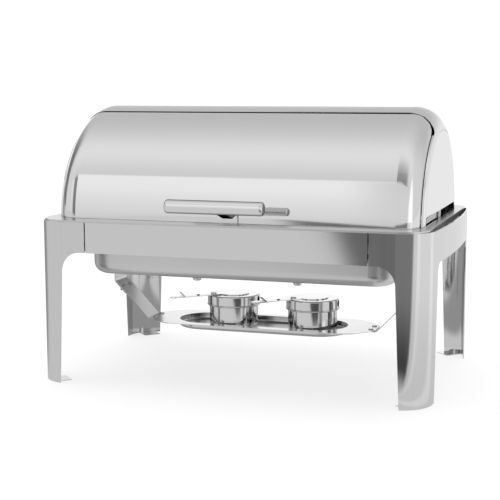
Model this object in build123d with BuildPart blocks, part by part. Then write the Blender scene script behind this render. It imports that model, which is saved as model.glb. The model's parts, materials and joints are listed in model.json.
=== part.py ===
"""Roll-top chafing dish for one full-size gastronorm pan, in millimetres.

The row frame stands on the floor: +Z up, +X to the right, the front (handle side) at -Y.
Everything is drawn about the middle of the stand and moved once, when it is written, so that
the origin is the centre of the whole footprint, handle included.
"""
import math
import os

from build123d import *

# ---- driving dimensions ----------------------------------------------------
# stand
BAND_TOP = 270.0          # top edge of the sheet band
BAND_HEIGHT = 50.0
STAND_SHEET = 1.5
STAND_DEPTH = 438.0       # outside front face to outside back face
END_CREST = 335.4         # middle of the bowed end band, from the centre
END_BOW = 12.7            # how far the bow falls back at the front and back planes
CORNER_R = 52.0
SEAM_X = 234.5            # middle of the joint between a rail and a leg arm
SEAM_GAP = 2.0
LEG_FRONT_TOP = 275.5     # inner edge of a leg in the front view, high up
LEG_FRONT_FLOOR = 284.5   # the same edge at the floor
LEG_END_TOP = 148.0       # inner edge of a leg in the end view
LEG_END_FLOOR = 161.0
JOINT_FLANGE = 14.0       # folded end of a rail or an arm
SCREW_Z = (233.0, 257.0)
BEND_R = 6.0
ARCH_R, END_ARCH_R = 31.0, 16.0
RAIL_FOLD = 10.0
SCREW_R = 2.0             # M4 screws
SCREW_HOLE_R = 2.1
SCREW_HEAD_R, SCREW_HEAD_HEIGHT = 3.6, 2.4
SCREW_LENGTH = 12.0
HOLE_REACH = 12.0         # a screw hole's cutter, longer than any sheet it passes
JOINT_WASHER_R = 4.4
THREAD_GAP = 0.02         # between a screw and its nut
SEAT_GAP = 0.02           # between a screw head or a lapped sheet and what it sits on
NUT_R, NUT_HEIGHT = 4.0, 3.2
LEG_CORNER_X = 275.8      # centre of the rounded corner, in plan
FOOT_LENGTH, FOOT_WIDTH, FOOT_SHEET = 31.4, 31.0, 1.5
FOOT_SHIFT = 4.4
FOOT_GAP = 0.2            # between a tab and the inside of the leg

# water pan
RIM_LENGTH, RIM_DEPTH = 644.0, 436.0
RIM_TOP = BAND_TOP + 2.8
RIM_R = 45.0
END_LIP = 8.0             # deeper turned-down lip at each end of the rim
END_LIP_STOP = 15.0       # it stops this far short of the rim's rounded corners
PAN_SHEET = 1.0
MOUTH_LENGTH, MOUTH_DEPTH, MOUTH_R = 613.6, 360.0, 42.0
LEDGE_TOP = 256.8
WELL_LENGTH, WELL_DEPTH, WELL_CORNER = 522.0, 312.0, 40.0
WELL_FLOOR = 176.0        # inner floor of the water well
WELL_FLOOR_R = 18.0
STUD_R, STUD_DROP, STUD_EDGE_R = 7.0, 4.6, 3.4
STUD_X, STUD_Y = (-71.0, 101.0), 136.0

# full-size food pan
FOOD_FLANGE = (530.0, 325.0)
FOOD_BODY = (504.0, 299.0)
FOOD_DROP = 64.0
FOOD_TAPER = 3.4
FOOD_CORNER, FLANGE_CORNER = 30.0, 38.0
FOOD_FLOOR_R = 12.0
FOOD_SHEET = 0.8

# roll-top cover
AXIS_Z = 269.0            # the lid's pivot line, parallel to X
HOOD_R = 187.0
HOOD_HALF = 308.5
HOOD_EDGE_R = 44.0
COVER_SHEET = 1.0
LID_R = 185.0
LID_HALF = 304.0
LID_EDGE_R = 37.0
WINDOW_ANGLE = 71.5       # the hood's front edge, up from the horizontal
WINDOW_HALF = 306.0
LID_TOP_ANGLE = 83.0
LID_BOTTOM = RIM_TOP + 0.3
SLOT_HALF, SLOT_TOP = 147.0, 286.0
SLOT_LEAN, SLOT_CORNER_R = 10.0, 9.0
PIVOT_R = 3.0
PIVOT_RUN = 0.05          # radial running clearance of the lid on its pins
WINDOW_CORNER = 16.0
WINDOW_KNEE = 0.42        # where the cut's edge turns down, as a part of its reach
LIP_R, LIP_REACH = 157.4, 2.4   # folded side edges of the hood's opening
LIP_TOP_ANGLE, LIP_FOOT = 64.0, 3.5
WINDOW_CORE = 120.0       # the window cut stays this far in front of the middle
LID_HUB_R = 11.0
PLATE_SHEET, PLATE_WIDTH = 1.5, 22.0
PLATE_JOG = 1.4           # the pivot plate steps inward to pass inside the water pan's mouth
PLATE_KNEE, PLATE_TOP = 289.0, 314.0
PIN_LENGTH = 5.4
PIVOT_WASHER_R, PIVOT_WASHER = 8.0, 0.5
PIVOT_CAP_R, PIVOT_CAP_LENGTH = 6.5, 3.0

# lid handle
GRIP_Y, GRIP_Z = -250.0, 304.5
GRIP_R = 10.8
GRIP_LENGTH = 160.0
GRIP_CAP, GRIP_CAP_EDGE_R = 5.0, 4.4
GRIP_WALL = 1.2
BRACKET_Z = 284.0
BRACKET_WIDTH, BRACKET_THICK, BRACKET_EDGE_R = 20.0, 8.0, 2.5
BRACKET_BURY = 4.0        # how far the bar starts behind the foot plate's face
BRACKET_FOOT, BRACKET_TALL = 34.0, 22.0
BRACKET_SHEET = 2.2
BRACKET_SCREW_X = 13.4
LID_SCREW_HEAD_R, LID_SCREW_HEAD, LID_SCREW_LENGTH = 3.0, 1.6, 8.0

# fuel tray
TRAY_TOP = 80.0
TRAY_SHEET = 1.2
TRAY_HALF_LENGTH = 204.0
TRAY_HALF_DEPTH = 65.0
WELL_HALF = 153.0
WELL_R = 50.0
TRAY_WELL_DROP = 11.0
TRAY_WELL_EDGE_R, TRAY_WELL_INNER_R = 5.0, 4.0
TRAY_SIDE_R, TRAY_END_R = 55.0, 30.0
TRAY_RIVET_HEAD_R, TRAY_RIVET_HEAD, TRAY_RIVET_TAIL = 4.2, 1.4, 1.2
TRAY_SCREW_HEAD, TRAY_SCREW_LENGTH = 2.2, 10.0
TRAY_SHOULDER, TRAY_END_HALF = 168.0, 27.0
TRAY_RIVETS = [(x, y) for x in (-196.0, 196.0) for y in (-14.0, 14.0)]
ARM_WIDTH = 50.0
ARM_SHEET = 1.6
ARM_FOOT_START, ARM_FOOT_END = 187.0, 207.0
ARM_SLOPE = 46.5          # degrees up from the horizontal
ARM_RUN = 84.0            # length of the sloping part
HANGER_X, HANGER_Z = 270.0, 232.0
HANGER_TOP = 262.0
HANGER_LAP = 30.0         # how much of the hanger's foot lies along the arm
ARM_SCREW_Y, ARM_SCREW_BACK = 14.0, 17.0

# burners
BURNER_X = (-53.5, 90.0)
BURNER_NAMES = ("left", "right")
GRIP_ANGLE = (222.0, 225.0)
CUP_R = 42.5
COLLAR_R = 45.6
CUP_SHEET = 0.8
CUP_EDGE_R = 9.0
BEAD_R, BEAD_OUT = 1.5, 2.8     # the rim's rolled bead, and its centre outside the cup's wall
SPIGOT_GAP, SPIGOT_DROP = 0.1, 6.0
COLLAR_EDGE_R = 2.2
COLLAR_BOTTOM, COLLAR_TOP = 111.0, 127.0
AIR_HOLE_Z, AIR_HOLE_TURN = 118.6, -43.0
FLAME_HOLE_R = 23.0
AIR_HOLE_R = 6.0
SHUTTER_R = 27.0
SHUTTER_PIVOT = 38.0      # from the burner's centre
SHUTTER_REACH = 119.0
SHUTTER_WIDTH = 16.5
SHUTTER_SHEET = 1.5
RIVET_R, RIVET_GAP = 2.5, 0.05
TAB_AT, TAB_WIDTH, TAB_LENGTH, TAB_LEAN = 92.0, 10.0, 10.5, 48.0
TAB_ROOT = 0.3            # how far inside the strip the tongue starts
BUMP_AT = 67.0
BUMP_LOW_R, BUMP_TOP_R, BUMP_RISE = 3.4, 1.4, 1.5
PLAY = 0.1                # the shutter's play above the collar and below its rivet's head
STEM_LENGTH = 4.5
RIVET_TAIL_R, RIVET_TAIL = 4.0, 1.2
RIVET_HEAD_R, RIVET_HEAD, RIVET_DOME_R = 5.0, 2.6, 1.6

HALF_DEPTH = STAND_DEPTH / 2
BAND_BOTTOM = BAND_TOP - BAND_HEIGHT
HOOD_BOTTOM = RIM_TOP
FRONT_REACH = -GRIP_Y + GRIP_R
TO_ORIGIN = Location((0, (FRONT_REACH - HALF_DEPTH) / 2, 0))

os.makedirs("parts", exist_ok=True)


def write(piece, node):
    """Label one finished piece, move it to the row's origin and write its STEP file."""
    placed = piece.moved(TO_ORIGIN)
    placed.label = node
    export_step(placed, f"parts/{node}.step")


def both_ends(piece):
    """The piece together with its mirror image at the other end."""
    return Compound([piece, mirror(piece, about=Plane.YZ)])


# ---- stand: two end frames, each one bent sheet with two legs ---------------
def end_outline(inset):
    """Plan of the end frame's wall, pulled in by inset; it is open towards the rails."""
    depth = HALF_DEPTH - inset
    crest = END_CREST - inset
    open_x = SEAM_X - 20
    with BuildSketch() as plan:
        with BuildLine():
            Line((open_x, -depth), (crest - END_BOW, -depth))
            ThreePointArc((crest - END_BOW, -depth), (crest, 0), (crest - END_BOW, depth))
            Line((crest - END_BOW, depth), (open_x, depth))
            Line((open_x, depth), (open_x, -depth))
        make_face()
        fillet(plan.vertices().group_by(Axis.X)[-1], CORNER_R - inset)
    return plan.sketch


ARM_END = SEAM_X + SEAM_GAP / 2
RAIL_END = SEAM_X - SEAM_GAP / 2
FLANGE_Y = HALF_DEPTH - STAND_SHEET - JOINT_FLANGE / 2
FLANGE_Z = (BAND_TOP + BAND_BOTTOM) / 2
SEAM_SPOTS = [(s, t * FLANGE_Y, z) for s in (-1, 1) for t in (-1, 1) for z in SCREW_Z]


def seam_places(offset):
    """Frames at the eight seam screws, local +Z pointing away from the middle of the stand."""
    return [Location((s * (SEAM_X + offset), y, z), (0, s * 90, 0)) for s, y, z in SEAM_SPOTS]


with BuildPart() as end_frame:
    add(end_outline(0))
    extrude(amount=BAND_TOP)
    add(end_outline(STAND_SHEET))
    extrude(amount=BAND_TOP, mode=Mode.SUBTRACT)
    # the arms stop at the seam with the rails
    with Locations((ARM_END - 30, 0, BAND_TOP / 2)):
        Box(60, STAND_DEPTH + 2, BAND_TOP + 2, mode=Mode.SUBTRACT)
    # arch between each leg and the rail, through the front and the back face
    with BuildSketch(Plane.XZ) as front_arch:
        Polygon(
            (ARM_END - 20, -5),
            (LEG_FRONT_FLOOR, -5),
            (LEG_FRONT_TOP, BAND_BOTTOM),
            (ARM_END - 20, BAND_BOTTOM),
            align=None,
        )
        fillet(front_arch.vertices().group_by(Axis.Y)[-1].sort_by(Axis.X)[-1], ARCH_R)
    extrude(amount=HALF_DEPTH + 5, both=True, mode=Mode.SUBTRACT)
    # arch between the two legs, through the bowed end face
    with BuildSketch(Plane.YZ.offset(END_CREST - 40)) as end_arch:
        Polygon(
            (-LEG_END_FLOOR, -5),
            (LEG_END_FLOOR, -5),
            (LEG_END_TOP, BAND_BOTTOM - 1),
            (-LEG_END_TOP, BAND_BOTTOM - 1),
            align=None,
        )
        fillet(end_arch.vertices().group_by(Axis.Y)[-1], END_ARCH_R)
    extrude(amount=60, mode=Mode.SUBTRACT)
    # folded joint flange at the end of each arm
    with Locations(*[(ARM_END + STAND_SHEET / 2, s * FLANGE_Y, FLANGE_Z) for s in (-1, 1)]):
        Box(STAND_SHEET, JOINT_FLANGE + 0.2, BAND_HEIGHT - 4)
    with Locations(*seam_places(0)):
        Cylinder(SCREW_HOLE_R, HOLE_REACH, mode=Mode.SUBTRACT)
write(end_frame.part, "end_frame_right")
write(mirror(end_frame.part, about=Plane.YZ), "end_frame_left")

# ---- front and back rails ---------------------------------------------------
with BuildPart() as rail:
    with Locations((0, -HALF_DEPTH + STAND_SHEET / 2, FLANGE_Z)):
        Box(2 * RAIL_END, STAND_SHEET, BAND_HEIGHT)
    # folded ends that face the arms' flanges, and a stiffening fold along the bottom
    with Locations(*[(s * (RAIL_END - STAND_SHEET / 2), -FLANGE_Y, FLANGE_Z) for s in (-1, 1)]):
        Box(STAND_SHEET, JOINT_FLANGE + 0.2, BAND_HEIGHT - 4)
    with Locations((0, -HALF_DEPTH + RAIL_FOLD / 2, BAND_BOTTOM + STAND_SHEET / 2)):
        Box(2 * RAIL_END - 40, RAIL_FOLD, STAND_SHEET)
    with Locations(*seam_places(0)):
        Cylinder(SCREW_HOLE_R, HOLE_REACH, mode=Mode.SUBTRACT)
write(rail.part, "front_rail")
write(mirror(rail.part, about=Plane.XZ), "back_rail")

# ---- screws, nuts and washers that close the four seams ---------------------
with BuildPart() as joint_screws:
    with Locations(*seam_places(-SEAM_GAP / 2 - STAND_SHEET)):
        Cylinder(SCREW_R, SCREW_LENGTH, align=(Align.CENTER, Align.CENTER, Align.MIN))
        Cylinder(SCREW_HEAD_R, SCREW_HEAD_HEIGHT, align=(Align.CENTER, Align.CENTER, Align.MAX))
write(joint_screws.part, "joint_screws")

with BuildPart() as joint_washers:
    with Locations(*seam_places(-SEAM_GAP / 2)):
        Cylinder(JOINT_WASHER_R, SEAM_GAP, align=(Align.CENTER, Align.CENTER, Align.MIN))
        Cylinder(SCREW_HOLE_R, 3 * SEAM_GAP, mode=Mode.SUBTRACT)
write(joint_washers.part, "joint_washers")

with BuildPart() as joint_nuts:
    for place in seam_places(SEAM_GAP / 2 + STAND_SHEET):
        with BuildSketch(Plane(place)):
            RegularPolygon(NUT_R, 6)
            Circle(SCREW_R + THREAD_GAP, mode=Mode.SUBTRACT)
        extrude(amount=NUT_HEIGHT)
write(joint_nuts.part, "joint_nuts")

# ---- foot tabs, one flat tab welded inside the bottom of each leg -----------
with BuildPart() as foot_tabs:
    for sx in (-1, 1):
        for sy in (-1, 1):
            corner = (sx * LEG_CORNER_X, sy * (HALF_DEPTH - CORNER_R), 0)
            inner_r = CORNER_R - STAND_SHEET - FOOT_GAP
            with BuildSketch(Plane(corner, x_dir=(sx, sy, 0), z_dir=(0, 0, 1))):
                with Locations((inner_r - FOOT_LENGTH, sx * sy * FOOT_SHIFT)):
                    Rectangle(FOOT_LENGTH + 9, FOOT_WIDTH, align=(Align.MIN, Align.CENTER))
                Circle(inner_r, mode=Mode.INTERSECT)
            extrude(amount=FOOT_SHEET)
write(foot_tabs.part, "foot_tabs")

# ---- water pan ---------------------------------------------------------------
with BuildPart() as well_space:
    with BuildSketch(Plane.XY.offset(WELL_FLOOR)):
        RectangleRounded(WELL_LENGTH, WELL_DEPTH, WELL_CORNER)
    extrude(amount=LEDGE_TOP - WELL_FLOOR + 1)
    fillet(well_space.faces().sort_by(Axis.Z)[0].edges(), WELL_FLOOR_R)

OUT = 2 * PAN_SHEET
with BuildPart() as water_pan:
    with BuildSketch(Plane.XY.offset(RIM_TOP - PAN_SHEET)):
        RectangleRounded(RIM_LENGTH, RIM_DEPTH, RIM_R)
    extrude(amount=PAN_SHEET)
    with BuildSketch(Plane.XY.offset(BAND_TOP)):
        RectangleRounded(RIM_LENGTH, RIM_DEPTH, RIM_R)
        RectangleRounded(RIM_LENGTH - OUT, RIM_DEPTH - OUT, RIM_R - PAN_SHEET, mode=Mode.SUBTRACT)
    extrude(amount=RIM_TOP - BAND_TOP)
    # deeper turned-down lip along each end of the rim
    with Locations(*[(s * (RIM_LENGTH - PAN_SHEET) / 2, 0, RIM_TOP - END_LIP / 2) for s in (-1, 1)]):
        Box(PAN_SHEET, RIM_DEPTH - 2 * (RIM_R + END_LIP_STOP), END_LIP)
    # mouth and its ledge
    with BuildSketch(Plane.XY.offset(LEDGE_TOP - PAN_SHEET)):
        RectangleRounded(MOUTH_LENGTH + OUT, MOUTH_DEPTH + OUT, MOUTH_R + PAN_SHEET)
    extrude(amount=RIM_TOP - LEDGE_TOP)
    # water well below the ledge
    with BuildSketch(Plane.XY.offset(WELL_FLOOR - PAN_SHEET)):
        RectangleRounded(WELL_LENGTH + OUT, WELL_DEPTH + OUT, WELL_CORNER + PAN_SHEET)
    extrude(amount=LEDGE_TOP - WELL_FLOOR)
    fillet(water_pan.faces().sort_by(Axis.Z)[0].edges(), WELL_FLOOR_R + PAN_SHEET)
    with BuildSketch(Plane.XY.offset(LEDGE_TOP)):
        RectangleRounded(MOUTH_LENGTH, MOUTH_DEPTH, MOUTH_R)
    extrude(amount=RIM_TOP - LEDGE_TOP + 1, mode=Mode.SUBTRACT)
    add(well_space.part, mode=Mode.SUBTRACT)
write(water_pan.part, "water_pan")

# low domed studs under the water pan
with BuildPart() as pan_stud:
    Cylinder(STUD_R, STUD_DROP, align=(Align.CENTER, Align.CENTER, Align.MAX))
    fillet(pan_stud.edges().group_by(Axis.Z)[0], STUD_EDGE_R)
stud_spots = [(x, y, WELL_FLOOR - PAN_SHEET) for x in STUD_X for y in (-STUD_Y, STUD_Y)]
write(Compound([pan_stud.part.moved(Location(spot)) for spot in stud_spots]), "pan_studs")


# ---- food pan, hung by its flange over the water pan's well -----------------
def food_block(sheet, drop):
    """Tapered body of the food pan, from the flange's top down; sheet is taken off all round."""
    length, depth = FOOD_BODY
    top = LEDGE_TOP + FOOD_SHEET
    less = 2 * sheet
    with BuildPart() as block:
        with BuildSketch(Plane.XY.offset(top)):
            RectangleRounded(length - less, depth - less, FOOD_CORNER - sheet)
        with BuildSketch(Plane.XY.offset(top - drop)):
            RectangleRounded(length - less - 2 * FOOD_TAPER, depth - less - 2 * FOOD_TAPER,
                             FOOD_CORNER - sheet)
        loft()
        fillet(block.faces().sort_by(Axis.Z)[0].edges(), FOOD_FLOOR_R - sheet)
    return block.part


with BuildPart() as food_pan:
    with BuildSketch(Plane.XY.offset(LEDGE_TOP)):
        RectangleRounded(*FOOD_FLANGE, FLANGE_CORNER)
    extrude(amount=FOOD_SHEET)
    add(food_block(0, FOOD_DROP))
    add(food_block(FOOD_SHEET, FOOD_DROP - FOOD_SHEET), mode=Mode.SUBTRACT)
write(food_pan.part, "food_pan")


# ---- hood: fixed rear shell and end walls, open at the front ----------------
def cover_body(radius, half, edge_r):
    """Drum about the lid's axis, lying along X, with its two end edges rounded."""
    with BuildPart() as drum:
        with BuildSketch(Plane.YZ.offset(-half)):
            with Locations((0, AXIS_Z)):
                Circle(radius)
        extrude(amount=2 * half)
        fillet(drum.edges().filter_by(GeomType.CIRCLE), edge_r)
    return drum.part


reach = HOOD_R + 60
with BuildPart() as window:
    edge_y = -math.cos(math.radians(WINDOW_ANGLE))
    edge_z = math.sin(math.radians(WINDOW_ANGLE))
    with BuildSketch(Plane.YZ.offset(-WINDOW_HALF)):
        Polygon(
            (-WINDOW_CORE, AXIS_Z - 40),
            (-WINDOW_CORE, AXIS_Z + 20),
            (WINDOW_KNEE * reach * edge_y, AXIS_Z + WINDOW_KNEE * reach * edge_z),
            (reach * edge_y, AXIS_Z + reach * edge_z),
            (-reach, AXIS_Z + reach),
            (-reach, AXIS_Z - 40),
            align=None,
        )
    extrude(amount=2 * WINDOW_HALF)
    radial = Vector(0, edge_y, edge_z)
    fillet([e for e in window.edges() if abs((e % 0.5).dot(radial)) > 0.999], WINDOW_CORNER)

with BuildPart() as hood:
    add(cover_body(HOOD_R, HOOD_HALF, HOOD_EDGE_R))
    add(cover_body(HOOD_R - COVER_SHEET, HOOD_HALF - COVER_SHEET, HOOD_EDGE_R - COVER_SHEET),
        mode=Mode.SUBTRACT)
    with Locations((0, 0, HOOD_BOTTOM - 250)):
        Box(800, 500, 500, mode=Mode.SUBTRACT)
    add(window.part, mode=Mode.SUBTRACT)
    # the side edges of the opening are folded inward, close to the lid
    for side in (-1, 1):
        with BuildSketch(Plane.YZ.offset(side * (WINDOW_HALF - LIP_REACH))):
            with Locations((0, AXIS_Z)):
                Circle(LIP_R)
                Circle(LIP_R - COVER_SHEET, mode=Mode.SUBTRACT)
            Polygon(
                (0, AXIS_Z),
                (-reach, HOOD_BOTTOM + LIP_FOOT),
                (-reach, AXIS_Z + reach),
                (reach * math.tan(math.radians(LIP_TOP_ANGLE - 90)), AXIS_Z + reach),
                align=None,
                mode=Mode.INTERSECT,
            )
        extrude(amount=side * (LIP_REACH + 0.6))
    # shallow cut-out in the foot of each end wall
    with BuildSketch(Plane.YZ.offset(-HOOD_HALF - 1)) as slot:
        Polygon(
            (-SLOT_HALF, HOOD_BOTTOM - 3),
            (SLOT_HALF, HOOD_BOTTOM - 3),
            (SLOT_HALF - SLOT_LEAN, SLOT_TOP),
            (-SLOT_HALF + SLOT_LEAN, SLOT_TOP),
            align=None,
        )
        fillet(slot.vertices().group_by(Axis.Y)[-1], SLOT_CORNER_R)
    extrude(amount=2 * HOOD_HALF + 2, mode=Mode.SUBTRACT)
write(hood.part, "hood")

# ---- pivots: plates on the hood's end walls, pins, washers and caps ---------
WALL_X = HOOD_HALF - COVER_SHEET
PLATE_X = WALL_X - PLATE_JOG          # outer face of the plate's lower part
PIN_X = PLATE_X - PLATE_SHEET
with BuildPart() as pivot_plate:
    with Locations((WALL_X - PLATE_SHEET / 2, 0, (PLATE_TOP + PLATE_KNEE) / 2)):
        Box(PLATE_SHEET, PLATE_WIDTH, PLATE_TOP - PLATE_KNEE)
    with Locations(((WALL_X + PIN_X) / 2, 0, PLATE_KNEE + PLATE_SHEET / 2)):
        Box(WALL_X - PIN_X, PLATE_WIDTH, PLATE_SHEET)
    with BuildSketch(Plane.YZ.offset(PIN_X)):
        with Locations((0, AXIS_Z)):
            Circle(PLATE_WIDTH / 2)
        with Locations((0, (AXIS_Z + PLATE_KNEE) / 2)):
            Rectangle(PLATE_WIDTH, PLATE_KNEE - AXIS_Z)
    extrude(amount=PLATE_SHEET)
write(both_ends(pivot_plate.part), "pivot_plates")


def on_axis(x, radius, length, hole=0.0):
    """A disc, ring or rod on the lid's axis, from x towards the middle."""
    with BuildPart() as ring:
        with BuildSketch(Plane.YZ.offset(x - length)):
            with Locations((0, AXIS_Z)):
                Circle(radius)
                if hole > 0:
                    Circle(hole, mode=Mode.SUBTRACT)
        extrude(amount=length)
    return ring.part


write(both_ends(on_axis(PIN_X, PIVOT_R, PIN_LENGTH)), "pivot_pins")
write(both_ends(on_axis(PIN_X - 0.05, PIVOT_WASHER_R, PIVOT_WASHER, PIVOT_R + 0.04)), "pivot_washers")
cap_at = LID_HALF - COVER_SHEET - 0.3
write(both_ends(on_axis(cap_at, PIVOT_CAP_R, PIVOT_CAP_LENGTH, PIVOT_R + 0.01)), "pivot_caps")


# ---- lid: rolls back under the hood -----------------------------------------
def lid_normal(x, z, out):
    """Plane on the lid's front at height z, its normal pointing away from the pivot line."""
    up = z - AXIS_Z
    normal = Vector(0, -math.sqrt(LID_R**2 - up**2), up).normalized()
    spot = Vector(x, 0, AXIS_Z) + normal * (LID_R + out)
    return Plane(spot, x_dir=(1, 0, 0), z_dir=normal)


BRACKET_SPOTS = [lid_normal(s * BRACKET_SCREW_X, BRACKET_Z, 0) for s in (-1, 1)]
with BuildPart() as lid_keep:
    back_y = math.cos(math.radians(LID_TOP_ANGLE))
    back_z = math.sin(math.radians(LID_TOP_ANGLE))
    with BuildSketch(Plane.YZ.offset(-LID_HALF - 1)):
        Polygon(
            (0, LID_BOTTOM),
            (-reach, LID_BOTTOM),
            (-reach, AXIS_Z + reach),
            (-reach * back_y, AXIS_Z + reach * back_z),
            (LID_HUB_R * back_z, AXIS_Z + LID_HUB_R * back_y),
            align=None,
        )
        with Locations((0, AXIS_Z)):
            Circle(LID_HUB_R)
    extrude(amount=2 * LID_HALF + 2)

with BuildPart() as lid:
    add(cover_body(LID_R, LID_HALF, LID_EDGE_R))
    add(cover_body(LID_R - COVER_SHEET, LID_HALF - COVER_SHEET, LID_EDGE_R - COVER_SHEET),
        mode=Mode.SUBTRACT)
    add(lid_keep.part, mode=Mode.INTERSECT)
    with Locations(Location((0, 0, AXIS_Z), (0, 90, 0))):
        Cylinder(PIVOT_R + PIVOT_RUN, 2 * LID_HALF + 2, mode=Mode.SUBTRACT)
    with Locations(*[Location(spot) for spot in BRACKET_SPOTS]):
        Cylinder(SCREW_HOLE_R, HOLE_REACH, mode=Mode.SUBTRACT)
write(lid.part, "lid")

# ---- lid handle: a tube with closed ends on one bracket ---------------------
GRIP_SPOT = Location((0, GRIP_Y, GRIP_Z), (0, 90, 0))
with BuildPart() as handle_tube:
    with Locations(GRIP_SPOT):
        Cylinder(GRIP_R, GRIP_LENGTH - 2 * GRIP_CAP)
        Cylinder(GRIP_R - GRIP_WALL, GRIP_LENGTH, mode=Mode.SUBTRACT)
write(handle_tube.part, "handle_tube")

cap_x = GRIP_LENGTH / 2 - GRIP_CAP
with BuildPart() as handle_cap:
    with BuildSketch(Plane((cap_x, GRIP_Y, GRIP_Z), x_dir=(0, 0, 1), z_dir=(1, 0, 0))):
        Circle(GRIP_R)
    extrude(amount=GRIP_CAP)
    fillet(handle_cap.edges().sort_by(Axis.X)[-1], GRIP_CAP_EDGE_R)
write(both_ends(handle_cap.part), "handle_caps")

foot_y = -math.sqrt(LID_R**2 - (BRACKET_Z - AXIS_Z) ** 2)
climb = Vector(0, GRIP_Y - foot_y, GRIP_Z - BRACKET_Z)
with BuildPart() as handle_bracket:
    # bar that climbs from the lid to the grip
    bar_start = Vector(0, foot_y, BRACKET_Z) - climb.normalized() * BRACKET_BURY
    with BuildSketch(Plane(bar_start, x_dir=(1, 0, 0), z_dir=climb)):
        RectangleRounded(BRACKET_WIDTH, BRACKET_THICK, BRACKET_EDGE_R)
    extrude(amount=climb.length)
    # curved foot plate against the lid
    with BuildSketch(Plane.YZ.offset(-BRACKET_FOOT / 2)):
        with Locations((0, AXIS_Z)):
            Circle(LID_R + BRACKET_SHEET)
        with Locations((-LID_R, BRACKET_Z)):
            Rectangle(40, BRACKET_TALL, mode=Mode.INTERSECT)
    extrude(amount=BRACKET_FOOT)
    with Locations(GRIP_SPOT):
        Cylinder(GRIP_R + SEAT_GAP, GRIP_LENGTH, mode=Mode.SUBTRACT)
    with Locations(Location((0, 0, AXIS_Z), (0, 90, 0))):
        Cylinder(LID_R + SEAT_GAP, GRIP_LENGTH, mode=Mode.SUBTRACT)
    with Locations(*[Location(spot) for spot in BRACKET_SPOTS]):
        Cylinder(SCREW_HOLE_R, HOLE_REACH, mode=Mode.SUBTRACT)
write(handle_bracket.part, "handle_bracket")

with BuildPart() as handle_screws:
    with Locations(*[Location(spot) * Pos(0, 0, BRACKET_SHEET + SEAT_GAP) for spot in BRACKET_SPOTS]):
        Cylinder(LID_SCREW_HEAD_R, LID_SCREW_HEAD, align=(Align.CENTER, Align.CENTER, Align.MIN))
        Cylinder(SCREW_R, LID_SCREW_LENGTH, align=(Align.CENTER, Align.CENTER, Align.MAX))
write(handle_screws.part, "handle_screws")

with BuildPart() as handle_nuts:
    for spot in BRACKET_SPOTS:
        with BuildSketch(spot.offset(-COVER_SHEET - 0.1)):
            RegularPolygon(NUT_R, 6)
            Circle(SCREW_R + THREAD_GAP, mode=Mode.SUBTRACT)
        extrude(amount=-NUT_HEIGHT)
write(handle_nuts.part, "handle_nuts")

# ---- fuel tray ----------------------------------------------------------------
with BuildPart() as tray_space:
    with BuildSketch(Plane.XY.offset(TRAY_TOP)):
        SlotOverall(2 * (WELL_HALF - TRAY_SHEET), 2 * (WELL_R - TRAY_SHEET))
    extrude(amount=-TRAY_WELL_DROP)
    fillet(tray_space.faces().sort_by(Axis.Z)[0].edges(), TRAY_WELL_INNER_R)

with BuildPart() as fuel_tray:
    with BuildSketch(Plane.XY.offset(TRAY_TOP - TRAY_SHEET)) as plate:
        Polygon(
            (-TRAY_HALF_LENGTH, -TRAY_END_HALF),
            (-TRAY_SHOULDER, -TRAY_HALF_DEPTH),
            (TRAY_SHOULDER, -TRAY_HALF_DEPTH),
            (TRAY_HALF_LENGTH, -TRAY_END_HALF),
            (TRAY_HALF_LENGTH, TRAY_END_HALF),
            (TRAY_SHOULDER, TRAY_HALF_DEPTH),
            (-TRAY_SHOULDER, TRAY_HALF_DEPTH),
            (-TRAY_HALF_LENGTH, TRAY_END_HALF),
            align=None,
        )
        fillet(plate.vertices().group_by(Axis.Y)[0], TRAY_SIDE_R)
        fillet(plate.vertices().group_by(Axis.Y)[-1], TRAY_SIDE_R)
        fillet(plate.vertices().group_by(Axis.X)[0], TRAY_END_R)
        fillet(plate.vertices().group_by(Axis.X)[-1], TRAY_END_R)
    extrude(amount=TRAY_SHEET)
    with BuildSketch(Plane.XY.offset(TRAY_TOP)):
        SlotOverall(2 * WELL_HALF, 2 * WELL_R)
    extrude(amount=-TRAY_WELL_DROP - TRAY_SHEET)
    fillet(fuel_tray.faces().sort_by(Axis.Z)[0].edges(), TRAY_WELL_EDGE_R)
    add(tray_space.part, mode=Mode.SUBTRACT)
    with Locations(*[(x, y, TRAY_TOP) for x, y in TRAY_RIVETS]):
        Cylinder(RIVET_R + RIVET_GAP, HOLE_REACH, mode=Mode.SUBTRACT)
write(fuel_tray.part, "fuel_tray")


# ---- the tray's two hangers and two sloping arms ----------------------------
def strap(points):
    """A flat strip of the arms' width, bent through the points (x, z)."""
    with BuildPart() as strip:
        with BuildLine(Plane.XZ) as run:
            FilletPolyline(*points, radius=BEND_R)
        with BuildSketch(Plane(run.line @ 0, x_dir=(0, 1, 0), z_dir=run.line % 0)):
            Rectangle(ARM_WIDTH, ARM_SHEET)
        sweep()
    return strip.part


rise = Vector(math.cos(math.radians(ARM_SLOPE)), math.sin(math.radians(ARM_SLOPE)), 0)
below = Vector(rise.Y, -rise.X, 0)
foot_z = TRAY_TOP - TRAY_SHEET - ARM_SHEET / 2
knee = Vector(ARM_FOOT_END, foot_z, 0)
arm_tip = knee + rise * ARM_RUN
lap = knee + below * (ARM_SHEET + SEAT_GAP)
bend = lap + rise * ((HANGER_X - lap.X) / rise.X)
screw_at = bend - rise * ARM_SCREW_BACK
ARM_SCREWS = [
    Plane((screw_at.X, y, screw_at.Y), x_dir=(0, 1, 0), z_dir=(-below.X, 0, -below.Y))
    for y in (-ARM_SCREW_Y, ARM_SCREW_Y)
]

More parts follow.
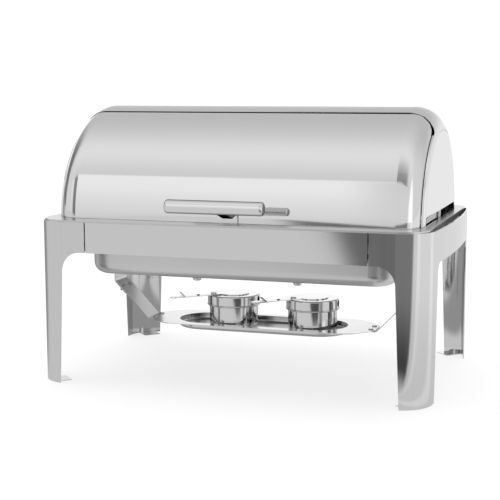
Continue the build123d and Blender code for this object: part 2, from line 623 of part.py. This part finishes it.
with BuildPart() as tray_arm:
    add(strap([(ARM_FOOT_START, foot_z), (knee.X, knee.Y), (arm_tip.X, arm_tip.Y)]))
    with Locations(*[(x, y, foot_z) for x, y in TRAY_RIVETS if x > 0]):
        Cylinder(RIVET_R + RIVET_GAP, HOLE_REACH, mode=Mode.SUBTRACT)
    with Locations(*[Location(spot) for spot in ARM_SCREWS]):
        Cylinder(SCREW_HOLE_R, HOLE_REACH, mode=Mode.SUBTRACT)
write(tray_arm.part, "tray_arm_right")
write(mirror(tray_arm.part, about=Plane.YZ), "tray_arm_left")

hanger_x = END_CREST - STAND_SHEET - 0.2 - ARM_SHEET / 2
hanger_end = bend - rise * HANGER_LAP
with BuildPart() as tray_hanger:
    add(strap([
        (hanger_x, HANGER_TOP),
        (hanger_x, HANGER_Z),
        (HANGER_X, HANGER_Z),
        (bend.X, bend.Y),
        (hanger_end.X, hanger_end.Y),
    ]))
    with Locations(*[Location(spot) for spot in ARM_SCREWS]):
        Cylinder(SCREW_HOLE_R, HOLE_REACH, mode=Mode.SUBTRACT)
write(tray_hanger.part, "tray_hanger_right")
write(mirror(tray_hanger.part, about=Plane.YZ), "tray_hanger_left")

head_at = 1.5 * ARM_SHEET + SEAT_GAP
with BuildPart() as tray_screws:
    with Locations(*[Location(spot) * Pos(0, 0, head_at) for spot in ARM_SCREWS]):
        Cylinder(SCREW_R, TRAY_SCREW_LENGTH, align=(Align.CENTER, Align.CENTER, Align.MAX))
        Cylinder(SCREW_HEAD_R, TRAY_SCREW_HEAD, align=(Align.CENTER, Align.CENTER, Align.MIN))
write(both_ends(tray_screws.part), "tray_screws")

with BuildPart() as tray_nuts:
    for spot in ARM_SCREWS:
        with BuildSketch(spot.offset(-ARM_SHEET / 2)):
            RegularPolygon(NUT_R, 6)
            Circle(SCREW_R + THREAD_GAP, mode=Mode.SUBTRACT)
        extrude(amount=-NUT_HEIGHT)
write(both_ends(tray_nuts.part), "tray_nuts")

# rivets through the tray's plate and the feet of its arms
rivet_low = TRAY_TOP - TRAY_SHEET - ARM_SHEET
with BuildPart() as tray_rivets:
    with Locations(*[(x, y, rivet_low) for x, y in TRAY_RIVETS]):
        Cylinder(RIVET_R, TRAY_TOP - rivet_low, align=(Align.CENTER, Align.CENTER, Align.MIN))
        Cylinder(TRAY_RIVET_HEAD_R, TRAY_RIVET_TAIL, align=(Align.CENTER, Align.CENTER, Align.MAX))
    with Locations(*[(x, y, TRAY_TOP) for x, y in TRAY_RIVETS]):
        Cylinder(TRAY_RIVET_HEAD_R, TRAY_RIVET_HEAD, align=(Align.CENTER, Align.CENTER, Align.MIN))
write(tray_rivets.part, "tray_rivets")

# ---- burners: cup, pierced collar, swinging flame shutter -------------------
CUP_BOTTOM = TRAY_TOP - TRAY_WELL_DROP
bead_at = (CUP_R + BEAD_OUT, COLLAR_BOTTOM - BEAD_R)
with BuildPart() as cup_space:
    with Locations((0, 0, CUP_BOTTOM + CUP_SHEET)):
        Cylinder(CUP_R - CUP_SHEET, 60, align=(Align.CENTER, Align.CENTER, Align.MIN))
    fillet(cup_space.edges().group_by(Axis.Z)[0], CUP_EDGE_R - CUP_SHEET)

with BuildPart() as cup:
    with Locations((0, 0, CUP_BOTTOM)):
        Cylinder(CUP_R, COLLAR_BOTTOM - CUP_BOTTOM, align=(Align.CENTER, Align.CENTER, Align.MIN))
    fillet(cup.edges().group_by(Axis.Z)[0], CUP_EDGE_R)
    # flat rim rolled over into a bead
    with BuildSketch(Plane.XZ):
        with Locations((CUP_R + BEAD_OUT / 2, COLLAR_BOTTOM - CUP_SHEET / 2)):
            Rectangle(BEAD_OUT + CUP_SHEET / 2, CUP_SHEET)
        with Locations(bead_at):
            Circle(BEAD_R)
    revolve(axis=Axis.Z)
    add(cup_space.part, mode=Mode.SUBTRACT)

SPIGOT_R = CUP_R - CUP_SHEET - SPIGOT_GAP
with BuildPart() as collar:
    with BuildSketch(Plane.XZ) as wall:
        Polygon(
            (COLLAR_R, COLLAR_BOTTOM),
            (COLLAR_R, COLLAR_TOP),
            (FLAME_HOLE_R, COLLAR_TOP),
            (FLAME_HOLE_R, COLLAR_TOP - CUP_SHEET),
            (COLLAR_R - CUP_SHEET, COLLAR_TOP - CUP_SHEET),
            (COLLAR_R - CUP_SHEET, COLLAR_BOTTOM + CUP_SHEET),
            (SPIGOT_R - CUP_SHEET, COLLAR_BOTTOM + CUP_SHEET),
            (SPIGOT_R - CUP_SHEET, COLLAR_BOTTOM - SPIGOT_DROP),
            (SPIGOT_R, COLLAR_BOTTOM - SPIGOT_DROP),
            (SPIGOT_R, COLLAR_BOTTOM),
            align=None,
        )
        fillet(wall.vertices().group_by(Axis.Y)[-1].sort_by(Axis.X)[-1], COLLAR_EDGE_R)
    revolve(axis=Axis.Z)
    with Locations(*[Location((0, 0, AIR_HOLE_Z), (0, 90, a)) for a in (AIR_HOLE_TURN, AIR_HOLE_TURN + 90)]):
        Cylinder(AIR_HOLE_R, 4 * COLLAR_R, mode=Mode.SUBTRACT)

# the shutter is drawn along +X and swings about its rivet
SHUTTER_LOW = COLLAR_TOP + PLAY
with BuildPart() as shutter:
    with BuildSketch(Plane.XY.offset(SHUTTER_LOW)):
        Circle(SHUTTER_R)
        Rectangle(SHUTTER_REACH - SHUTTER_WIDTH / 2, SHUTTER_WIDTH, align=(Align.MIN, Align.CENTER))
        with Locations((SHUTTER_REACH - SHUTTER_WIDTH / 2, 0)):
            Circle(SHUTTER_WIDTH / 2)
        with Locations((SHUTTER_PIVOT, 0)):
            Circle(RIVET_R + RIVET_GAP, mode=Mode.SUBTRACT)
        with Locations((TAB_AT + TAB_WIDTH / 2, 0)):
            Rectangle(TAB_WIDTH, TAB_WIDTH, mode=Mode.SUBTRACT)
    extrude(amount=SHUTTER_SHEET)
    # thumb tongue lanced out of the strip and bent up, and a pressed stop bump
    with Locations(Location((TAB_AT - TAB_ROOT, 0, SHUTTER_LOW + SHUTTER_SHEET / 2), (0, TAB_LEAN, 0))):
        Box(SHUTTER_SHEET, TAB_WIDTH, TAB_LENGTH, align=(Align.CENTER, Align.CENTER, Align.MIN))
    with Locations((BUMP_AT, 0, SHUTTER_LOW + SHUTTER_SHEET)):
        Cone(BUMP_LOW_R, BUMP_TOP_R, BUMP_RISE, align=(Align.CENTER, Align.CENTER, Align.MIN))

with BuildPart() as rivet:
    with Locations((SHUTTER_PIVOT, 0, COLLAR_TOP - CUP_SHEET)):
        Cylinder(RIVET_R, STEM_LENGTH, align=(Align.CENTER, Align.CENTER, Align.MIN))
        Cylinder(RIVET_TAIL_R, RIVET_TAIL, align=(Align.CENTER, Align.CENTER, Align.MAX))
    with Locations((SHUTTER_PIVOT, 0, SHUTTER_LOW + SHUTTER_SHEET + PLAY)):
        Cylinder(RIVET_HEAD_R, RIVET_HEAD, align=(Align.CENTER, Align.CENTER, Align.MIN))
    fillet(rivet.edges().group_by(Axis.Z)[-1], RIVET_DOME_R)

for side, x, angle in zip(BURNER_NAMES, BURNER_X, GRIP_ANGLE):
    stand_at = Location((x, 0, 0))
    turned = Location((x, 0, 0), (0, 0, angle))
    with BuildPart() as rivet_hole:
        with Locations(turned * Location((SHUTTER_PIVOT, 0, COLLAR_TOP))):
            Cylinder(RIVET_R + 0.02, 8)
    write(cup.part.moved(stand_at), f"burner_{side}_cup")
    write(collar.part.moved(stand_at) - rivet_hole.part, f"burner_{side}_collar")
    write(shutter.part.moved(turned), f"burner_{side}_shutter")
    write(rivet.part.moved(turned), f"burner_{side}_rivet")
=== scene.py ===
"""Looks of the roll-top chafing dish: procedural steels and nylon on the CAD pieces, in a studio.

No piece is added or reshaped. Polished steel looks like what it reflects, so most of this script
describes the studio: the sky by direction, and the floor as the steel sees it.
"""
import json
import math

import bpy
from mathutils import Euler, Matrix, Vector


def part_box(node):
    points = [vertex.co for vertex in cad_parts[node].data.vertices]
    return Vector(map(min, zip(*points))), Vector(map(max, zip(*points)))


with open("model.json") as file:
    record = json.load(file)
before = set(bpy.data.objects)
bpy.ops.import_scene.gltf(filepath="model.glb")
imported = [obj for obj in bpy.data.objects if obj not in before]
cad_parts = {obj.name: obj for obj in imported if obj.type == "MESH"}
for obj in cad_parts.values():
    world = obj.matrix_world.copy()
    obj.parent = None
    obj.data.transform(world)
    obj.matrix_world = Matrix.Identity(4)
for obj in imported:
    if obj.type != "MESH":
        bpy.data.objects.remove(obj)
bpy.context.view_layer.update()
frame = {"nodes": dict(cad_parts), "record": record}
NODES = frame["nodes"]
# middle of the stand in the row frame, read from the rails
STAND_Y = (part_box("front_rail")[0].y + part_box("back_rail")[1].y) / 2
WHITE = (1, 1, 1, 1)


# ---- shader helpers ----------------------------------------------------------
def node(tree, kind, **values):
    """Adds a shader node and sets the sockets that are named, with _ for a space."""
    made = tree.nodes.new(kind)
    for name, value in values.items():
        made.inputs[name.replace("_", " ")].default_value = value
    return made


def grey(shade):
    """An opaque grey."""
    return (shade, shade, shade, 1)


def ramp_node(tree, value, stops):
    """Colour ramp through (position, colour) stops."""
    made = tree.nodes.new("ShaderNodeValToRGB")
    elements = made.color_ramp.elements
    while len(elements) < len(stops):
        elements.new(0.5)
    for element, (at, color) in zip(elements, stops):
        element.position = at
        element.color = color
    tree.links.new(value, made.inputs["Fac"])
    return made.outputs["Color"]


class Graph:
    """Arithmetic in one shader tree. Each value is a number or an output socket."""

    def __init__(self, tree):
        self.tree = tree

    def op(self, operation, *values):
        """One maths node."""
        made = self.tree.nodes.new("ShaderNodeMath")
        made.operation = operation
        for i, value in enumerate(values):
            if isinstance(value, (int, float)):
                made.inputs[i].default_value = value
            else:
                self.tree.links.new(value, made.inputs[i])
        return made.outputs["Value"]

    def times(self, first, *others):
        """Product of the values."""
        for value in others:
            first = self.op("MULTIPLY", first, value)
        return first

    def rise(self, value, span, levels=(0.0, 1.0)):
        """Smooth change between the two levels as value goes along the span."""
        made = self.tree.nodes.new("ShaderNodeMapRange")
        made.interpolation_type = "SMOOTHSTEP"
        for name, number in zip(("From Min", "From Max", "To Min", "To Max"), (*span, *levels)):
            made.inputs[name].default_value = number
        self.tree.links.new(value, made.inputs["Value"])
        return made.outputs["Result"]

    def lit(self, value, mask, amount):
        """value, with amount added where mask is 1."""
        return self.op("ADD", value, self.times(mask, amount))

    def dimmed(self, value, mask, amount):
        """value, less the share amount of it where mask is 1."""
        return self.times(value, self.op("SUBTRACT", 1.0, self.times(mask, amount)))

    def blend(self, first, second, share):
        """first where share is 0, second where share is 1."""
        keep = self.op("SUBTRACT", 1.0, share)
        return self.op("ADD", self.times(first, keep), self.times(second, share))


# ---- materials ---------------------------------------------------------------
BLUE_CAST = 0.005                        # steel's blue above its red and green
GRAIN = {"Detail": 4.0, "Roughness": 0.62}
CLOUDS = {"Scale": 9.0, "Detail": 3.0, "Roughness": 0.5}
SMUDGE = 0.02                            # roughness that handling adds
SMUDGE_SPAN = (0.45, 0.75)               # part of the cloud noise that counts as a smudge
RELIEF_DEPTH = 0.0004


def steel(name, shade, rough, grain, spread, bump, tone=0.04, edge=1.0):
    """Stainless steel with a drawn grain.

    grain is the noise scale along X, Y and Z. The grain varies the roughness by spread, darkens
    the colour by up to tone, and stands out by bump. edge tints reflections at grazing angles.
    """
    mat = bpy.data.materials.new(name)
    mat.use_nodes = True
    tree = mat.node_tree
    tree.nodes.clear()
    link = tree.links.new
    out = node(tree, "ShaderNodeOutputMaterial")
    bsdf = node(tree, "ShaderNodeBsdfPrincipled", Metallic=1.0, Specular_Tint=grey(edge))
    link(bsdf.outputs["BSDF"], out.inputs["Surface"])
    coord = node(tree, "ShaderNodeTexCoord")
    stretch = node(tree, "ShaderNodeMapping", Scale=grain)
    link(coord.outputs["Object"], stretch.inputs["Vector"])
    lines = node(tree, "ShaderNodeTexNoise", Scale=1.0, **GRAIN)
    link(stretch.outputs["Vector"], lines.inputs["Vector"])
    clouds = node(tree, "ShaderNodeTexNoise", **CLOUDS)
    link(coord.outputs["Object"], clouds.inputs["Vector"])
    # colour: the grain varies the tone a little
    dark = node(tree, "ShaderNodeMapRange", To_Min=1.0 - tone, To_Max=1.0)
    link(lines.outputs["Fac"], dark.inputs["Value"])
    tint = node(tree, "ShaderNodeMix")
    tint.data_type = "RGBA"
    tint.blend_type = "MULTIPLY"
    tint.inputs["Factor"].default_value = 1.0
    tint.inputs["A"].default_value = (shade, shade, shade + BLUE_CAST, 1.0)
    link(dark.outputs["Result"], tint.inputs["B"])
    link(tint.outputs["Result"], bsdf.inputs["Base Color"])
    # roughness: the grain plus handling smudges
    fine = node(tree, "ShaderNodeMapRange", To_Min=rough - spread / 2, To_Max=rough + spread / 2)
    link(lines.outputs["Fac"], fine.inputs["Value"])
    marks = node(tree, "ShaderNodeMapRange", From_Min=SMUDGE_SPAN[0], From_Max=SMUDGE_SPAN[1],
                 To_Min=0.0, To_Max=SMUDGE)
    link(clouds.outputs["Fac"], marks.inputs["Value"])
    total = Graph(tree).op("ADD", fine.outputs["Result"], marks.outputs["Result"])
    link(total, bsdf.inputs["Roughness"])
    if bump > 0:
        relief = node(tree, "ShaderNodeBump", Strength=bump, Distance=RELIEF_DEPTH)
        link(lines.outputs["Fac"], relief.inputs["Height"])
        link(relief.outputs["Normal"], bsdf.inputs["Normal"])
    return mat


NYLON_ROUGH = 0.5
NYLON_GRIT = {"Scale": 900.0, "Detail": 2.0}
NYLON_STOPS = [(0.0, (0.012, 0.012, 0.013, 1)), (1.0, (0.035, 0.035, 0.036, 1))]


def nylon(name):
    """Dull dark plastic for the washers."""
    mat = bpy.data.materials.new(name)
    mat.use_nodes = True
    tree = mat.node_tree
    bsdf = tree.nodes["Principled BSDF"]
    bsdf.inputs["Roughness"].default_value = NYLON_ROUGH
    grit = node(tree, "ShaderNodeTexNoise", **NYLON_GRIT)
    tree.links.new(ramp_node(tree, grit.outputs["Fac"], NYLON_STOPS), bsdf.inputs["Base Color"])
    return mat


ALONG_X = (3.0, 1500.0, 1500.0)
UP_Z = (700.0, 700.0, 4.0)
ROUND_Z = (60.0, 60.0, 1800.0)
EVEN = (400.0, 400.0, 400.0)
STEELS = {
    "stand_steel": dict(shade=0.73, rough=0.075, grain=ALONG_X, spread=0.03, bump=0.02,
                        tone=0.06, edge=0.9),
    "cover_steel": dict(shade=0.77, rough=0.06, grain=ALONG_X, spread=0.02, bump=0.0),
    "pan_steel": dict(shade=0.66, rough=0.3, grain=EVEN, spread=0.06, bump=0.05),
    "food_pan_steel": dict(shade=0.66, rough=0.26, grain=EVEN, spread=0.06, bump=0.04),
    "tray_steel": dict(shade=0.70, rough=0.2, grain=ALONG_X, spread=0.06, bump=0.04),
    "burner_steel": dict(shade=0.74, rough=0.1, grain=ROUND_Z, spread=0.04, bump=0.02, edge=0.9),
    # the handle's edge of 0 turns its grazing reflections black: painted dark outlines along the
    # top and bottom of the tube
    "handle_steel": dict(shade=0.76, rough=0.06, grain=ALONG_X, spread=0.02, bump=0.0, edge=0.0),
    "hardware_steel": dict(shade=0.58, rough=0.3, grain=EVEN, spread=0.08, bump=0.05),
}
# the end frames are sheet steel too, with the grain running up the legs
END_STEEL = dict(shade=0.73, rough=0.1, grain=UP_Z, spread=0.05, bump=0.08, tone=0.14, edge=0.9)
MATERIALS = {name: steel(name, **looks) for name, looks in STEELS.items()}
MATERIALS["nylon"] = nylon("nylon")
MATERIALS["end_steel"] = steel("end_steel", **END_STEEL)
SLOT_OF = {s["node"]: s["material_slot"] for s in frame["record"]["subparts"]}
for name, obj in NODES.items():
    for place in obj.material_slots:
        place.material = MATERIALS["end_steel" if name.startswith("end_frame") else SLOT_OF[name]]


# ---- floor -------------------------------------------------------------------
FLOOR_REACH = 30.0
FLOOR_SHADE, FLOOR_GLOW = 0.2, 0.76      # partly self-lit, so that the shadows stay faint
GLOW_HEIGHT = 0.0004
PAPER_ROUGH, PAPER_SHINE = 0.9, 0.1
MOTTLE_SCALE, MOTTLE_DARK = 3.0, 0.99


def floor_sheet(name, height, material):
    """A flat square of the studio."""
    corners = [(x * FLOOR_REACH, y * FLOOR_REACH, height)
               for x, y in ((-1, -1), (1, -1), (1, 1), (-1, 1))]
    mesh = bpy.data.meshes.new(name)
    mesh.from_pydata(corners, [], [tuple(range(len(corners)))])
    mesh.materials.append(material)
    obj = bpy.data.objects.new(name, mesh)
    bpy.context.scene.collection.objects.link(obj)
    return obj


def paper(name, shade, glow):
    """Matt studio paper with a faint mottle and some light of its own."""
    mat = bpy.data.materials.new(name)
    mat.use_nodes = True
    tree = mat.node_tree
    bsdf = tree.nodes["Principled BSDF"]
    bsdf.inputs["Roughness"].default_value = PAPER_ROUGH
    bsdf.inputs["Specular IOR Level"].default_value = PAPER_SHINE
    bsdf.inputs["Emission Color"].default_value = WHITE
    bsdf.inputs["Emission Strength"].default_value = glow
    mottle = node(tree, "ShaderNodeTexNoise", Scale=MOTTLE_SCALE)
    stops = [(0.0, grey(shade * MOTTLE_DARK)), (1.0, grey(shade))]
    tree.links.new(ramp_node(tree, mottle.outputs["Fac"], stops), bsdf.inputs["Base Color"])
    return mat


# The floor that polished steel sees is bright paper with a dark gap at the front right. Turns
# are in degrees about the gap's apex, 0 to the front and positive to the right. Distances are
# in metres from the apex. A span that runs backwards falls where a forward one rises.
RADIAN = 57.2958                         # in degrees
APEX = (0.27, STAND_Y - 0.30)
GAP_LEFT, GAP_RIGHT, GAP_NEAR = (-18.0, -16.2), (50.0, 56.0), (0.03, 0.2)
GAP_AWAY, GAP_LEVELS = (0.15, 0.95), (0.05, 0.235)
GAP_HEM, GAP_HEM_LEVELS = (-14.0, -6.0), (0.68, 1.0)
PAPER_TURN, PAPER_LEVELS = (40.0, 60.0), (0.75, 0.84)
STRIPE_START, STRIPE_END, STRIPE_END_LEVELS = (66.0, 70.0), (76.0, 84.0), (1.0, 0.45)
STRIPE_GAIN = 0.22
REAR_STRIPE_START, REAR_STRIPE_END, REAR_STRIPE_GAIN = (124.0, 132.0), (152.0, 142.0), 0.18
NEAR_AWAY, NEAR_LEVELS, NEAR_TURN = (0.05, 1.4), (0.8, 1.0), (20.0, 40.0)
FLOOR_CURTAIN_START, FLOOR_CURTAIN_END, FLOOR_CURTAIN_LOSS = (-98.0, -112.0), (-172.0, -160.0), 0.5
FALL = (1.0, 0.0)


def glow_paper():
    """What the polished steel sees of the floor."""
    mat = bpy.data.materials.new("floor_glow")
    mat.use_nodes = True
    tree = mat.node_tree
    tree.nodes.clear()
    graph = Graph(tree)
    rise, times, op = graph.rise, graph.times, graph.op
    out = tree.nodes.new("ShaderNodeOutputMaterial")
    glow = tree.nodes.new("ShaderNodeEmission")
    tree.links.new(glow.outputs["Emission"], out.inputs["Surface"])
    coord = tree.nodes.new("ShaderNodeTexCoord")
    split = tree.nodes.new("ShaderNodeSeparateXYZ")
    tree.links.new(coord.outputs["Object"], split.inputs["Vector"])
    dx = op("SUBTRACT", split.outputs["X"], APEX[0])
    dy = op("SUBTRACT", APEX[1], split.outputs["Y"])
    turn = times(op("ARCTAN2", dx, dy), RADIAN)
    away = op("SQRT", op("ADD", times(dx, dx), times(dy, dy)))
    inside = times(rise(turn, GAP_LEFT), rise(turn, GAP_RIGHT, FALL), rise(away, GAP_NEAR))
    # the bright paper: two lighter stripes, dimmer near the dish, dimmer under the curtain
    bright = rise(turn, PAPER_TURN, PAPER_LEVELS)
    stripe = times(rise(turn, STRIPE_START), rise(turn, STRIPE_END, STRIPE_END_LEVELS))
    bright = graph.lit(bright, stripe, STRIPE_GAIN)
    rear_stripe = times(rise(turn, REAR_STRIPE_START), rise(turn, REAR_STRIPE_END))
    bright = graph.lit(bright, rear_stripe, REAR_STRIPE_GAIN)
    near = rise(away, NEAR_AWAY, NEAR_LEVELS)
    bright = times(bright, op("MAXIMUM", near, rise(turn, NEAR_TURN, FALL)))
    curtain = times(rise(turn, FLOOR_CURTAIN_START), rise(turn, FLOOR_CURTAIN_END))
    bright = graph.dimmed(bright, curtain, FLOOR_CURTAIN_LOSS)
    dark = times(rise(away, GAP_AWAY, GAP_LEVELS), rise(turn, GAP_HEM, GAP_HEM_LEVELS))
    tree.links.new(graph.blend(bright, dark, inside), glow.inputs["Strength"])
    return mat


def only_in_reflections(obj):
    """Seen by polished metal and by nothing else."""
    obj.visible_camera = False
    obj.visible_diffuse = False
    obj.visible_shadow = False
    obj.visible_transmission = False


floor_sheet("floor", 0, paper("floor_paper", FLOOR_SHADE, FLOOR_GLOW))
only_in_reflections(floor_sheet("floor_glow", GLOW_HEIGHT, glow_paper()))


# ---- sky ---------------------------------------------------------------------
def radians(*angles):
    """The angles, given in degrees, in radians."""
    return tuple(math.radians(angle) for angle in angles)


# Shades by angle over the dish, in degrees from the front horizon: a bright softbox up to 43,
# a grey ceiling, and a wall behind. The other spans are angles over the dish, or the X and -Y
# parts (across and ahead) of a direction.
SKY = [
    (0, 0.82), (8, 0.89), (20, 0.97), (28, 1.04), (42.6, 1.07), (43.4, 0.78), (50, 0.82),
    (57, 0.88), (64, 0.93), (72, 0.95), (80, 0.92), (87, 0.86), (96, 0.78), (105, 0.72),
    (116, 0.67), (128, 0.63), (150, 0.62), (166, 0.72), (177, 0.92),
]
LOW_SKY = radians(46, 40)
SOFTBOX_END = (-0.235, -0.195)
SOFTBOX_LOSS_OVER, SOFTBOX_LOSS = radians(0, 38), (0.06, 0.24)
FLAG_LEFT, FLAG_RIGHT = (-0.2, -0.1), (0.5, 0.7)
FLAG_TOP, FLAG_FOOT, FLAG_LOSS = radians(76, 44), radians(40, 44), 0.58
HEM_START, HEM_END, HEM_AHEAD, HEM_LOSS = (-0.46, -0.49), (-0.72, -0.64), (-0.05, 0.05), 0.72
GLARE_OVER, GLARE_ACROSS, GLARE_GAIN = radians(160, 168), (0.05, -0.1), 0.5
SIDE_SPAN, SIDE_SHADE = (0.62, 0.92), 0.83
SIDE_STRIP_ACROSS, SIDE_STRIP_AHEAD, SIDE_STRIP_GAIN = (0.78, 0.84), (0.16, 0.26), 0.5
CURTAIN_ACROSS, CURTAIN_AHEAD, CURTAIN_LOSS = (-0.5, -0.7), (0.05, -0.2), 0.75


def sky_level(tree):
    """Brightness of the studio in each direction."""
    graph = Graph(tree)
    rise, times, op = graph.rise, graph.times, graph.op
    coord = tree.nodes.new("ShaderNodeTexCoord")
    split = tree.nodes.new("ShaderNodeSeparateXYZ")
    tree.links.new(coord.outputs["Generated"], split.inputs["Vector"])
    across = split.outputs["X"]
    ahead = times(split.outputs["Y"], -1.0)
    over = op("ARCTAN2", split.outputs["Z"], ahead)
    stops = [(at / 180, grey(shade)) for at, shade in SKY]
    sky = ramp_node(tree, op("DIVIDE", over, math.pi), stops)
    # the softbox ends left of the camera, so the low sky is dimmer from there on
    low_sky = rise(over, LOW_SKY)
    sky = graph.dimmed(sky, times(low_sky, rise(across, SOFTBOX_END)),
                       rise(over, SOFTBOX_LOSS_OVER, SOFTBOX_LOSS))
    # a dark flag above the floor's gap, right of the softbox
    flag = times(rise(across, FLAG_LEFT), rise(across, FLAG_RIGHT, FALL),
                 rise(over, FLAG_TOP), rise(over, FLAG_FOOT))
    sky = graph.dimmed(sky, flag, FLAG_LOSS)
    # a black edge where the softbox ends on the left
    hem = times(rise(across, HEM_START), rise(across, HEM_END), low_sky, rise(ahead, HEM_AHEAD))
    sky = graph.dimmed(sky, hem, HEM_LOSS)
    # the white wall behind, low down and on the left
    glare = times(rise(over, GLARE_OVER), rise(across, GLARE_ACROSS))
    sky = graph.lit(sky, glare, GLARE_GAIN)
    # the side walls, with a bright strip on the right and a dark curtain on the left, behind
    side = rise(op("ABSOLUTE", across), SIDE_SPAN)
    strip = times(rise(across, SIDE_STRIP_ACROSS), rise(ahead, SIDE_STRIP_AHEAD))
    wall = graph.lit(SIDE_SHADE, strip, SIDE_STRIP_GAIN)
    curtain = times(rise(across, CURTAIN_ACROSS), rise(ahead, CURTAIN_AHEAD))
    wall = graph.dimmed(wall, curtain, CURTAIN_LOSS)
    return graph.blend(sky, wall, side)


world = bpy.data.worlds.new("studio")
bpy.context.scene.world = world
world.use_nodes = True
sky_tree = world.node_tree
background = sky_tree.nodes["Background"]
# the camera itself sees plain white
seen = sky_tree.nodes.new("ShaderNodeLightPath").outputs["Is Camera Ray"]
strength = Graph(sky_tree).op("MAXIMUM", sky_level(sky_tree), seen)
sky_tree.links.new(strength, background.inputs["Strength"])
background.inputs["Color"].default_value = WHITE

SUN_ENERGY, SUN_ANGLE, SUN_TURN = 2.6, 70, (-18, -12, 0)
sun_data = bpy.data.lights.new("soft_sun", "SUN")
sun_data.energy = SUN_ENERGY
sun_data.angle = math.radians(SUN_ANGLE)
sun = bpy.data.objects.new("soft_sun", sun_data)
sun.rotation_euler = Euler(radians(*SUN_TURN))
sun.visible_glossy = False
bpy.context.scene.collection.objects.link(sun)

# ---- camera ------------------------------------------------------------------
CAM_AT = (0.62826, -1.99745 + STAND_Y, 0.49919)
CAM_YAW, CAM_PITCH, CAM_ROLL = 18.051, 7.981, 0.141
FOCAL, SENSOR = 87.64, 36.0
CLIP = (0.05, 200.0)
cam_data = bpy.data.cameras.new("camera")
cam_data.lens = FOCAL
cam_data.sensor_width = SENSOR
cam_data.clip_start, cam_data.clip_end = CLIP
camera = bpy.data.objects.new("camera", cam_data)
camera.location = CAM_AT
camera.rotation_euler = Euler(radians(90 - CAM_PITCH, CAM_ROLL, CAM_YAW))
bpy.context.scene.collection.objects.link(camera)
bpy.context.scene.camera = camera
bpy.context.scene.view_settings.view_transform = "Standard"
